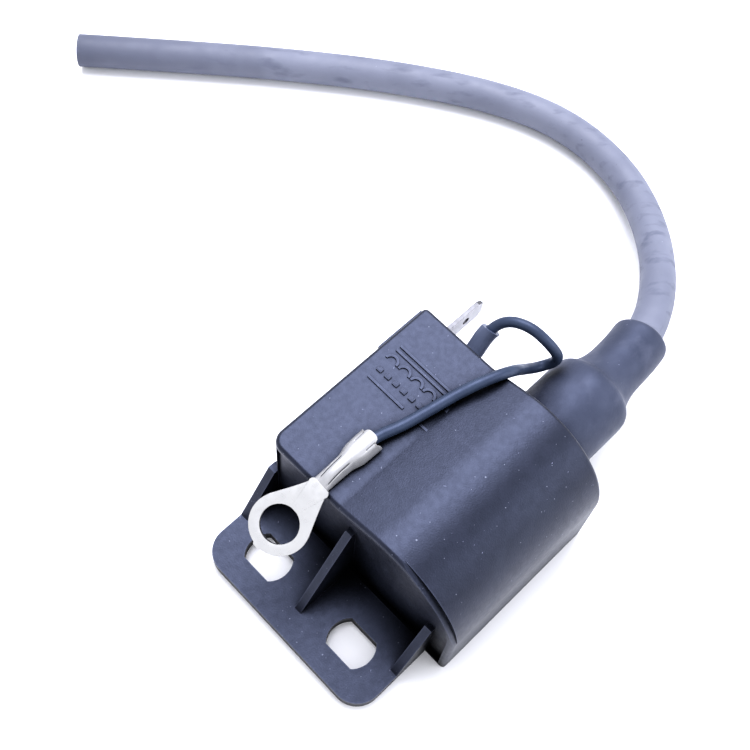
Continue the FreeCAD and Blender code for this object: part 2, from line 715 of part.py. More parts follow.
def build_electronics():
    capacitor_box = lay_box("capacitor_case", "14.6", "5.4", f"{BOARD_TOP} + 0.3", "18.0", "7.6", "9.6")
    capacitor_pins = [board_pin(f"capacitor_pin_{x}", x, 9.2, f"{BOARD_TOP} + 0.5") for x in (16.2, 31.0)]
    capacitor = join("discharge_capacitor", [capacitor_box] + capacitor_pins)
    thyristor_box = lay_box("thyristor_case", "34.4", "6.2", f"{BOARD_TOP} + 1.0", "2.7", "7.6", "9.4")
    thyristor_pins = [
        board_pin(f"thyristor_pin_{y}", 35.7, 10.0 + 2.54 * y, f"{BOARD_TOP} + 1.2") for y in (-1, 0, 1)]
    thyristor = join("thyristor", [thyristor_box] + thyristor_pins)
    diodes = [axial_part(f"diode_{i + 1}", 1.2, 4.4, (17.6 + 7.4 * i, 15.2), "x", 1.5) for i in range(3)]
    resistors = [axial_part(f"resistor_{i + 1}", 1.0, 3.2, (38.6, 7.5 + 5.9 * i), "y", 1.3) for i in range(2)]
    post = lay_cylinder(
        "ground_post", "0.5", "10.2", "41.15", "S.outlet_side", "S.board_height - 1.0", Z_AXIS)
    post.Label = "ground_post"
    diode_group = group("charging_diodes", diodes)
    resistor_group = group("resistors", resistors)
    blank = lay_box(
        "board_blank", "S.board_start", "S.board_side", "S.board_height",
        "S.board_length", "S.board_width", "S.board_thickness")
    tools = [capacitor, thyristor, post] + diodes + resistors
    board = cut("circuit_board", blank, join("board_holes", tools))
    return [board, capacitor, thyristor, diode_group, resistor_group, post]


def build_spade():
    body = new_body("spade_terminal")
    outline = new_sketch(body, "spade_outline", "XZ_Plane", "0 - S.spade_side")
    low, high = "S.spade_height - S.spade_width / 2", "S.spade_height + S.spade_width / 2"
    draw_polygon(outline, [
        ("S.spade_inside", BOARD_TOP),
        ("S.spade_inside + 2.2", BOARD_TOP),
        ("S.spade_inside + 2.2", low),
        ("S.spade_tip - S.spade_point", low),
        ("S.spade_tip", f"{low} + S.spade_point * 0.8"),
        ("S.spade_tip", f"{high} - S.spade_point * 0.8"),
        ("S.spade_tip - S.spade_point", high),
        ("S.spade_inside", high),
    ])
    pad(body, outline, "spade_blade", "S.spade_thickness", midplane=True)
    DOCUMENT.recompute()
    before = body.Shape.Volume
    hole = new_sketch(body, "spade_hole_outline", "XZ_Plane", "0 - S.spade_side - S.spade_thickness")
    draw_circle(hole, "S.spade_tip - 4.4", "S.spade_height", "S.spade_hole")
    pocket(body, hole, "spade_eye", "2 * S.spade_thickness", reverse=True)
    DOCUMENT.recompute()
    check_volume("spade hole", before, body.Shape.Volume, False)
    return body


def build_strap():
    """A thin strip that ties the core to the ground post."""
    along = lay_box("strap_run", "S.coil_end + 0.1", "S.tower_side + 1.0", "S.tower_height + S.core_side / 2 + 0.05",
                    "1.0", "17.2", "0.4")
    return cut("core_ground_strap", along, DOCUMENT.getObject("ground_post"))


# ---------------------------------------------------------------- boot, leads and ring terminal

def cord_shape(points, radius):
    return tube_shape(points, radius)[0]


BOOT_RIM_ROUND = 0.9


def build_boot():
    """A soft skirt over the tower that narrows to a sleeve, which follows the lead for a little way."""
    back, end = size("body_back"), size("skirt_end")
    radius, waist = size("skirt_radius"), size("waist_radius")
    drop, waist_end = size("shoulder_drop"), size("waist_end")
    side, level = size("tower_side"), size("tower_height")

    def place(along, out):
        return Vector(along, side, level + out)

    shoulder = Part.Arc(
        place(end - drop, radius), place(end - drop * 0.3, radius - drop * 0.3), place(end, radius - drop))
    valley = Part.Arc(
        place(end, radius - drop), place((end + waist_end) / 2 - 0.5, waist + 0.1), place(waist_end, waist))
    profile = Part.Wire([
        Part.LineSegment(place(back, 0), place(back, radius - 0.4)).toShape(),
        Part.LineSegment(place(back, radius - 0.4), place(back + 0.4, radius)).toShape(),
        Part.LineSegment(place(back + 0.4, radius), place(end - drop, radius)).toShape(),
        shoulder.toShape(),
        valley.toShape(),
        Part.LineSegment(place(waist_end, waist), place(waist_end, 0)).toShape(),
        Part.LineSegment(place(waist_end, 0), place(back, 0)).toShape(),
    ])
    skirt = Part.Face(profile).revolve(place(0, 0), X_AXIS, 360)
    sleeve_path = cord_shape(LEAD_ROUTE[:5], size("sleeve_radius"))
    heading = Vector(1, 0.16, -0.06).normalize()         # the lead's direction where the sleeve ends
    sleeve_end = Vector(waist_end + size("sleeve_reach"), side + 1.0, level - 0.5)
    overlap, reach, width = 1.5, 14.0, 40.0
    keep = Part.makeCylinder(width / 2, reach, sleeve_end - heading * reach, heading)
    before_waist = Part.makeBox(
        width, width, width, Vector(waist_end - overlap - width, side - width / 2, level - width / 2))
    sleeve = sleeve_path.common(keep.cut(before_waist))
    outer = skirt.fuse(sleeve).removeSplitter()
    rims = [edge for edge in outer.Edges if (edge.CenterOfMass - sleeve_end).Length < 1.5 and edge.Closed]
    if not rims:
        raise RuntimeError("the boot has no rim to round at its lead end")
    outer = outer.makeFillet(BOOT_RIM_ROUND, rims)
    tower = Part.makeCylinder(size("tower_radius"), size("tower_reach") + 0.2, place(back, 0), X_AXIS)
    lead = cord_shape(LEAD_ROUTE[:6], size("lead_radius"))
    boot = DOCUMENT.addObject("Part::Feature", "boot")
    boot.Label = "boot"
    boot.Shape = outer.cut(tower).cut(lead)
    return boot


def build_high_tension_lead():
    """The rubber jacket and the copper core inside it."""
    jacket = add_cord("high_tension_lead", LEAD_ROUTE, size("lead_radius"))
    jacket.Shape = jacket.Shape.cut(cord_shape(LEAD_ROUTE, size("lead_core") + size("lead_core_gap")))
    conductor = add_cord("high_tension_conductor", LEAD_ROUTE, size("lead_core"))
    return [jacket, conductor]


def build_ground_lead():
    lead = add_cord("ground_lead", GROUND_ROUTE, size("ground_radius"))
    outer = cord_shape(GROUND_ROUTE[:4], size("ground_sleeve"))
    wall_face, reach = size("body_back"), size("ground_sleeve_length")
    corner = Vector(*GROUND_ROUTE[1])
    heading = (Vector(*GROUND_ROUTE[2]) - corner).normalize()
    keep = Part.makeCylinder(8.0, 20.0, corner + heading * (reach - 20.0), heading)
    keep = keep.cut(Part.makeBox(20, 40, 60, Vector(wall_face - 20, -10, -10)))
    sleeve = DOCUMENT.addObject("Part::Feature", "ground_sleeve")
    sleeve.Label = "ground_sleeve"
    sleeve.Shape = outer.common(keep).cut(lead.Shape)
    return [lead, sleeve]


RING_CENTRE = Vector(1.1, 7.95, 25.0)
RING_NECK = Vector(9.6, 7.1, 29.05)
RING_ROLL = 14.0         # degrees that the ring's face leans towards the bulge
TERMINAL_SIDE, TERMINAL_FOOT = 7.3, 28.15   # where the crimp lies on the flat top
CRIMP_SECTIONS = [       # X, width and height, from the wire's end to the neck
    (20.9, 4.7, 3.1),
    (17.4, 4.5, 3.1),
    (15.2, 3.5, 2.7),
    (12.4, 3.1, 2.5),
    (9.4, 3.0, 2.2),
]
STRAND_END = 12.4        # X where the wire's strands end inside the crimp


def rounded_section(along, width, height):
    """The outline of the crimp at one place: a rectangle with round corners, its foot on the flat top."""
    corner = 0.3 * height
    block = Part.makeBox(1.0, width, height, Vector(along, TERMINAL_SIDE - width / 2, TERMINAL_FOOT))
    long_edges = [edge for edge in block.Edges if runs_along(edge, X_AXIS)]
    rounded = block.makeFillet(corner, long_edges)
    ends = [face for face in rounded.Faces if abs(face.CenterOfMass.x - along) < 0.001]
    return ends[0].OuterWire


def build_ring_terminal(lead):
    """A flat ring on a tapered tongue, then the strand crimp and the wider insulation crimp."""
    tongue_length = (RING_NECK - RING_CENTRE).Length + 0.5
    body = new_body("ring_plate")
    disc = new_sketch(body, "ring_disc_outline", "XY_Plane")
    draw_circle(disc, "0.0", "0.0", "S.ring_outside")
    pad(body, disc, "ring_disc", "S.ring_sheet", midplane=True)
    tongue = new_sketch(body, "tongue_outline", "XY_Plane")
    half_outline = [("1.9", "4.85"), ("5.4", "3.2"), ("8.0", "1.95"), (f"{tongue_length:.3f}", "1.7")]
    other_half = [(along, f"0 - {across}") for along, across in reversed(half_outline)]
    draw_polygon(tongue, half_outline + other_half)
    pad(body, tongue, "tongue", "S.ring_sheet", midplane=True)
    DOCUMENT.recompute()
    before = body.Shape.Volume
    eye = new_sketch(body, "ring_eye_outline", "XY_Plane", "S.ring_sheet")
    draw_circle(eye, "0.0", "0.0", "S.ring_bore")
    pocket(body, eye, "ring_eye", "2 * S.ring_sheet")
    DOCUMENT.recompute()
    check_volume("ring eye", before, body.Shape.Volume, False)

    along = (RING_NECK - RING_CENTRE).normalize()
    level_side = Z_AXIS.cross(along).normalize()
    upward = along.cross(level_side)
    roll = math.radians(RING_ROLL)
    across = level_side * math.cos(roll) + upward * math.sin(roll)
    body.Placement = frame_placement(RING_CENTRE, along, across, along.cross(across))

    shell = Part.makeLoft([rounded_section(*section) for section in CRIMP_SECTIONS], True, True)
    wire_end = Vector(*GROUND_ROUTE[-1])
    strands = Part.makeCylinder(size("strand_radius"), wire_end.x - STRAND_END, wire_end, Vector(-1, 0, 0))
    crimp = DOCUMENT.addObject("Part::Feature", "crimp_barrel")
    crimp.Shape = shell.cut(lead.Shape).cut(strands)
    terminal = join("ring_terminal", [body, crimp])
    conductor = DOCUMENT.addObject("Part::Feature", "ground_conductor")
    conductor.Label = "ground_conductor"
    conductor.Shape = strands
    return [terminal, conductor]


def frame_placement(place, along, across, normal):
    """A placement whose local axes are three given directions."""
    return Placement(Matrix(
        along.x, across.x, normal.x, place.x,
        along.y, across.y, normal.y, place.y,
        along.z, across.z, normal.z, place.z,
        0, 0, 0, 1))


# ---------------------------------------------------------------- potting

def build_potting(buried):
    """Resin around everything inside the housing, a little below the rim of the open underside."""
    body = new_body("potting_fill")
    outline = new_sketch(body, "potting_outline", "YZ_Plane", "S.body_back - S.wall")
    draw_shell_outline(outline, "S.wall", "-1.0")
    depth = "S.body_back - S.body_front - S.rim_depth - S.wall - S.wall"
    pad(body, outline, "potting_block", depth, reverse=True)
    envelope = coil_bar("coil_envelope", "S.secondary_flange", "S.coil_start", "S.coil_end - S.coil_start")
    core = lay_box(
        "core_envelope", "S.coil_start - S.core_overhang", "S.tower_side - S.core_side / 2",
        "S.tower_height - 5 * S.lamination_pitch", "S.coil_end - S.coil_start + 2 * S.core_overhang",
        "S.core_side", "10 * S.lamination_pitch")
    open_side = lay_box(
        "below_potting", "0.0", "-40.0", "-5.0", "60.0", "80.0", "5.0 + S.potting_recess")
    hollow = join("potting_hollow", [envelope, core, open_side] + buried)
    return cut("potting_compound", body, hollow)


# ---------------------------------------------------------------- assembly and export

def build_all():
    pieces = [build_housing(), build_core()]
    pieces += build_primary()
    pieces += build_secondary()
    contact = build_contact()
    electronics = build_electronics()
    spade = build_spade()
    strap = build_strap()
    ground = build_ground_lead()
    DOCUMENT.recompute()
    buried = [contact, spade, strap, ground[0]] + electronics
    pieces += [contact, spade, strap] + electronics + ground
    pieces += build_ring_terminal(ground[0])
    pieces += build_high_tension_lead()
    pieces.append(build_boot())
    pieces.append(build_potting(buried))
    return pieces


def export(pieces):
    """Check every object of the document, then write each piece under the name of its node."""
    DOCUMENT.recompute()
    failed = [item.Name for item in DOCUMENT.Objects if {"Invalid", "Error"} & set(item.State)]
    if failed:
        raise RuntimeError(f"these objects failed to rebuild: {failed}")
    os.makedirs(PARTS_FOLDER, exist_ok=True)
    for piece in pieces:
        shape = piece.Shape
        if shape.isNull() or not shape.isValid() or not shape.Solids:
            raise RuntimeError(f"{piece.Label} has no valid solid")
        shape.exportStep(os.path.join(PARTS_FOLDER, f"{piece.Label}.step"))
        box = shape.BoundBox
        print(f"{piece.Label}: {len(shape.Solids)} solid(s), {shape.Volume:.1f} mm3,"
              f" x {box.XMin:.1f}..{box.XMax:.1f}, y {box.YMin:.1f}..{box.YMax:.1f}, z {box.ZMin:.1f}..{box.ZMax:.1f}")


export(build_all())
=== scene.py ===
"""Looks of the ignition coil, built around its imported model.

Everything is in metres unless a comment says otherwise, in the model's own frame: +X runs along the coil
towards the boot, +Y points to the flat block beside the coil, and +Z is up.
"""
from collections import namedtuple
import math

import bmesh
import bpy
from mathutils import Matrix, Vector


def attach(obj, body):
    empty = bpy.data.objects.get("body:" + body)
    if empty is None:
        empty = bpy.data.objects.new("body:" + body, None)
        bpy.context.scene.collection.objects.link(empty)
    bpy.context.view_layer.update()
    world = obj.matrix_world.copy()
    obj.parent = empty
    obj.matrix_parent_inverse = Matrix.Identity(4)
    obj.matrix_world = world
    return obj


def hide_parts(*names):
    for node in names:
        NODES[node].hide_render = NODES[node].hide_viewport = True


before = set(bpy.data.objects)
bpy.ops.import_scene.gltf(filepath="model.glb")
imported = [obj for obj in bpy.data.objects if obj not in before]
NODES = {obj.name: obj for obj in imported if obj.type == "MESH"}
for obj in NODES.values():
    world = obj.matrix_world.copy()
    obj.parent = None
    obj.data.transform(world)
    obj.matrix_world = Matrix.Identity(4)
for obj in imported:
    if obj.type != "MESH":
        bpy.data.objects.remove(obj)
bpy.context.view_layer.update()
SCENE = bpy.context.scene
MILLIMETRE = 0.001


# ---------------------------------------------------------------- camera

CAMERA_PLACE = (-0.035352, -0.040660, 0.204869)
CAMERA_RIGHT = Vector((0.71627663, -0.69651988, 0.04251878))     # the direction to the right in the view
CAMERA_UP = Vector((0.61384993, 0.65789577, 0.43630427))         # the direction up in the view
LENS = 55.6           # millimetres, on a 36 mm sensor


def add_camera():
    data = bpy.data.cameras.new("camera")
    data.lens = LENS
    data.sensor_width = 36.0
    data.clip_start = 0.01
    data.clip_end = 50.0
    camera = bpy.data.objects.new("camera", data)
    SCENE.collection.objects.link(camera)
    backward = CAMERA_RIGHT.cross(CAMERA_UP)
    turn = Matrix((CAMERA_RIGHT, CAMERA_UP, backward)).transposed()
    camera.matrix_world = Matrix.Translation(CAMERA_PLACE) @ turn.to_4x4()
    SCENE.camera = camera


add_camera()


# ---------------------------------------------------------------- cords

LEAD_RADIUS = 0.0035
LEAD_ROUTE = [
    (0.0510, -0.0098, 0.0153),
    (0.0645, -0.0098, 0.0153),
    (0.0782, -0.0090, 0.0149),
    (0.0904, -0.0030, 0.0122),
    (0.1035, 0.0083, 0.0062),
    (0.1112, 0.0218, 0.00355),
    (0.1120, 0.0378, 0.00355),
    (0.1063, 0.0535, 0.00355),
    (0.0941, 0.0721, 0.00355),
    (0.0784, 0.0912, 0.00355),
    (0.0626, 0.1085, 0.00355),
    (0.0469, 0.1251, 0.00355),
]
GROUND_RADIUS = 0.001
GROUND_ROUTE = [
    (0.0417, 0.0087, 0.02055),
    (0.0472, 0.00875, 0.02145),
    (0.0516, 0.0092, 0.0252),
    (0.0542, 0.0076, 0.0282),
    (0.0558, 0.0035, 0.0292),
    (0.0566, -0.0011, 0.0273),
    (0.0580, -0.0030, 0.0229),
    (0.0555, -0.0007, 0.0200),
    (0.0511, 0.0002, 0.0238),
    (0.0473, -0.0001, 0.0292),
    (0.0424, 0.0014, 0.0305),
    (0.0371, 0.0033, 0.0294),
    (0.0315, 0.0044, 0.02935),
    (0.0260, 0.0056, 0.02925),
    (0.0209, 0.0073, 0.02965),
    (0.0156, 0.0073, 0.02965),
]


def draw_cord(name, route, radius):
    """A round cord whose line is a smooth spline steered by the route's points."""
    curve = bpy.data.curves.new(name, "CURVE")
    curve.dimensions = "3D"
    curve.bevel_depth = 1.0            # times each point's own radius
    curve.bevel_resolution = 9
    curve.resolution_u = 12
    curve.use_fill_caps = True
    spline = curve.splines.new("NURBS")
    spline.points.add(len(route) - 1)
    for point, place in zip(spline.points, route):
        point.co = (*place, 1.0)
        point.radius = radius
    spline.order_u = 3
    spline.use_endpoint_u = True
    spline.use_smooth = True
    cord = bpy.data.objects.new(name, curve)
    SCENE.collection.objects.link(cord)
    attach(cord, "root")
    return cord


lead = draw_cord("ignition_lead", LEAD_ROUTE, LEAD_RADIUS)
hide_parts("high_tension_lead", "high_tension_conductor")
ground = draw_cord("ground_wire", GROUND_ROUTE, GROUND_RADIUS)
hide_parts("ground_lead")


# ---------------------------------------------------------------- small node-tree helpers

SMALLEST_DOT = 0.35             # radius of the smallest dots, as a share of the largest
SOFT_RIM = 0.25                 # width of a dot's soft rim, as a share of the largest radius
EDGE_COSINES = (0.995, 0.85)    # between a face's own normal and the rounded one, off an edge and on it


def add_node(tree, kind, inputs=None, **settings):
    """A shader node; each input is a plain value or the output of another node."""
    made = tree.nodes.new("ShaderNode" + kind)
    for name, value in settings.items():
        setattr(made, name, value)
    for socket, value in (inputs or {}).items():
        if isinstance(value, bpy.types.NodeSocket):
            tree.links.new(value, made.inputs[socket])
        else:
            made.inputs[socket].default_value = value
    return made


def noise(tree, place, scale, detail=3.0, distortion=0.0):
    inputs = {"Vector": place, "Scale": scale, "Detail": detail, "Distortion": distortion}
    return add_node(tree, "TexNoise", inputs).outputs["Fac"]


def ramp(tree, factor, low, high, start=0.0, end=1.0):
    """Values from start to end as the factor goes from low to high, and held beyond."""
    inputs = {"Value": factor, "From Min": low, "From Max": high, "To Min": start, "To Max": end}
    return add_node(tree, "MapRange", inputs).outputs["Result"]


def arithmetic(tree, operation, first, second=0.0):
    return add_node(tree, "Math", {0: first, 1: second}, operation=operation).outputs[0]


def axis_part(tree, vector, axis):
    """One coordinate of a vector."""
    return add_node(tree, "SeparateXYZ", {"Vector": vector}).outputs[axis]


def blend_colours(tree, factor, first, second):
    made = tree.nodes.new("ShaderNodeMix")
    made.data_type = "RGBA"
    for index, value in ((0, factor), (6, first), (7, second)):
        if isinstance(value, bpy.types.NodeSocket):
            tree.links.new(value, made.inputs[index])
        else:
            made.inputs[index].default_value = value if index == 0 else (*value, 1.0)
    return made.outputs[2]


def stretched(tree, place, stretch, turn):
    """Coordinates in which a texture runs out in streaks along its turned X axis."""
    inputs = {"Vector": place, "Rotation": turn, "Scale": (stretch, 1.0, 1.0)}
    return add_node(tree, "Mapping", inputs, vector_type="TEXTURE").outputs["Vector"]


def speck_mask(tree, place, spacing, share, radius):
    """Small round dots, one in some of the cells of a Voronoi pattern with the given spacing."""
    cells = add_node(tree, "TexVoronoi", {"Vector": place, "Scale": 1.0 / spacing})
    chosen = add_node(tree, "SeparateColor", {"Color": cells.outputs["Color"]})
    present = arithmetic(tree, "LESS_THAN", chosen.outputs["Red"], share)
    largest = radius / spacing
    size = ramp(tree, chosen.outputs["Green"], 0.0, 1.0, SMALLEST_DOT * largest, largest)
    near = arithmetic(tree, "SUBTRACT", size, cells.outputs["Distance"])
    dot = ramp(tree, near, 0.0, SOFT_RIM * largest)
    return arithmetic(tree, "MULTIPLY", dot, present)


def edge_mask(tree, radius, strength):
    """Bright on the outer and inner edges of the shape, where handling wears the surface or where painted
    edge shade goes.
    """
    softened = add_node(tree, "Bevel", {"Radius": radius}, samples=4)
    plain = add_node(tree, "NewGeometry")
    inputs = {0: softened.outputs["Normal"], 1: plain.outputs["Normal"]}
    alike = add_node(tree, "VectorMath", inputs, operation="DOT_PRODUCT").outputs["Value"]
    return ramp(tree, alike, *EDGE_COSINES, 0.0, strength)


# ---------------------------------------------------------------- surfaces

COMMON_NOISE = (0.35, 0.65)     # noise values between which most of a surface lies, and nearly all of it
NEARLY_ALL_NOISE = (0.3, 0.7)
GLOSS_FINENESS = 2.3            # how much finer the patches of gloss are than those of colour
SMUDGE_ROUGHNESS = 0.06         # what a smudge and a scratch add to the roughness
SCRATCH_ROUGHNESS = 0.15
RAGGED_BORDER = 0.006           # how far the border of a fade strays, and the scale of its waves
RAGGED_SCALE = 60.0
SIDE_COSINES = (0.6, 0.9)       # between these a face goes from looking sideways, in painted side shade, to looking along the axis


def fade_along(tree, place, tone, fade):
    """Turn to another colour between two places along an axis, with a ragged border."""
    axis, start, end, faded = fade
    waves = noise(tree, place, RAGGED_SCALE)
    drift = ramp(tree, waves, *NEARLY_ALL_NOISE, -RAGGED_BORDER, RAGGED_BORDER)
    along = arithmetic(tree, "ADD", axis_part(tree, place, axis), drift)
    return blend_colours(tree, ramp(tree, along, start, end), tone, faded)


def roughen(tree, roughness, mask, amount):
    return arithmetic(tree, "ADD", roughness, arithmetic(tree, "MULTIPLY", mask, amount))


def lay_marks(tree, place, tone, roughness, smudges, specks, scratches):
    """Lay soft patches, dots and short lines over the tone; patches and lines also change the roughness."""
    for stretch, turn, scale, thin, thick, colour in smudges:
        cloud = noise(tree, stretched(tree, place, stretch, turn), scale, detail=6.0, distortion=0.2)
        mask = ramp(tree, cloud, thin, thick)
        tone = blend_colours(tree, mask, tone, colour)
        roughness = roughen(tree, roughness, mask, SMUDGE_ROUGHNESS)
    for spacing, share, radius, colour in specks:
        tone = blend_colours(tree, speck_mask(tree, place, spacing, share, radius), tone, colour)
    for stretch, turn, spacing, share, radius, colour in scratches:
        mask = speck_mask(tree, stretched(tree, place, stretch, turn), spacing, share, radius)
        tone = blend_colours(tree, mask, tone, colour)
        roughness = roughen(tree, roughness, mask, SCRATCH_ROUGHNESS)
    return tone, roughness


def paint_side_shade(tree, outward, tone, side_shade):
    """Painted shade: another colour on the faces that don't look along an axis."""
    axis, side_shade_colour = side_shade
    facing = arithmetic(tree, "ABSOLUTE", axis_part(tree, outward, axis))
    return blend_colours(tree, ramp(tree, facing, *SIDE_COSINES), side_shade_colour, tone)


def paint_pocket_shade(tree, shader, tone, pocket_shade):
    """Painted shade: darken corners, pockets and places under nearby parts, in colour and in gloss."""
    reach, deep, clear, share = pocket_shade
    around = add_node(tree, "AmbientOcclusion", {"Distance": reach}, samples=8).outputs["AO"]
    lit = ramp(tree, around, deep, clear, share, 1.0)
    gloss = arithmetic(tree, "MULTIPLY", lit, shader.inputs["Specular IOR Level"].default_value)
    tree.links.new(gloss, shader.inputs["Specular IOR Level"])
    return blend_colours(tree, lit, (0.0, 0.0, 0.0), tone)


def add_relief(tree, shader, place, grain, wave):
    """Fine grain and, where asked for, a regular ripple over it."""
    scale, depth = grain
    bump = add_node(tree, "Bump", {"Height": noise(tree, place, scale), "Distance": depth})
    if wave:
        wave_scale, direction, wave_depth = wave
        ripple = add_node(tree, "TexWave", {"Vector": place, "Scale": wave_scale, "Distortion": 0.4},
                          bands_direction=direction)
        inputs = {"Height": ripple.outputs["Fac"], "Distance": wave_depth, "Normal": bump.outputs["Normal"]}
        bump = add_node(tree, "Bump", inputs)
    tree.links.new(bump.outputs["Normal"], shader.inputs["Normal"])


def finish(name, colour, shade, rough, mottle, grain, metallic=0.0, constants=None, smudges=(), specks=(),
           scratches=(), edge_wear_and_shade=None, wave=None, fade=None, pocket_shade=None, side_shade=None):
    """A procedural surface.

    colour and shade are the two tones that the mottling mixes, and rough the roughness it runs between.
    mottle is the scale of the patches and the two noise values between which they change.
    grain is the scale and depth of the fine relief.  constants are values of the shader's own sockets.
    The other marks each have their own colour:
    smudges (stretch, turn, scale, thin, thick, colour) are soft patches.
    specks (spacing, share, radius, colour) are dots.
    scratches (stretch, turn, spacing, share, radius, colour) are dots drawn out into short lines.
    wear (radius, strength, colour) follows the edges: worn edges on most finishes, painted shade along the
    dull tin's edges.
    fade is (axis, from, to, colour): the surface turns to that colour between two places along an axis.
    sides is (axis, colour): painted shade, in which the faces that don't look along the axis have that
    colour.
    pocket is (reach, deep, clear, share): painted shade that darkens corners and pockets to that share of
    colour and gloss.
    wave is (scale, direction, depth) of a regular ripple such as windings.
    """
    material = bpy.data.materials.new(name)
    material.use_nodes = True
    tree = material.node_tree
    shader = next(node for node in tree.nodes if node.type == "BSDF_PRINCIPLED")
    shader.inputs["Metallic"].default_value = metallic
    for socket, value in (constants or {}).items():
        shader.inputs[socket].default_value = value
    coordinates = add_node(tree, "TexCoord")
    place = coordinates.outputs["Object"]

    scale, low, high = mottle
    patches = ramp(tree, noise(tree, place, scale, detail=4.0, distortion=0.3), low, high)
    tone = blend_colours(tree, patches, colour, shade)
    roughness = ramp(tree, noise(tree, place, scale * GLOSS_FINENESS, detail=4.0), *COMMON_NOISE, *rough)
    if fade:
        tone = fade_along(tree, place, tone, fade)
    tone, roughness = lay_marks(tree, place, tone, roughness, smudges, specks, scratches)
    # worn edges, and painted edge shade where a finish asks for it
    if edge_wear_and_shade:
        radius, strength, edge_wear_and_shade_colour = edge_wear_and_shade
        tone = blend_colours(tree, edge_mask(tree, radius, strength), tone, edge_wear_and_shade_colour)
    # painted shade on the faces that look sideways
    if side_shade:
        tone = paint_side_shade(tree, coordinates.outputs["Normal"], tone, side_shade)
    # painted shade in corners, pockets and under nearby parts
    if pocket_shade:
        tone = paint_pocket_shade(tree, shader, tone, pocket_shade)
    tree.links.new(tone, shader.inputs["Base Color"])
    tree.links.new(roughness, shader.inputs["Roughness"])
    add_relief(tree, shader, place, grain, wave)
    return material


# ---------------------------------------------------------------- finishes, by material slot

DUST = (0.15, 0.16, 0.20)
SCUFF = (0.16, 0.17, 0.24)
SLATE_TINT = (0.62, 0.70, 1.0, 1.0)
LEVEL = (0.0, 0.0, 0.0)             # the four ways in which streaks run, as turns in radians about X, Y, Z
ALONG_LEAD = (0.0, 0.0, 2.32)
SHORT_TURN = (0.0, 0.25, 0.5)
LONG_TURN = (0.2, -0.2, -1.0)

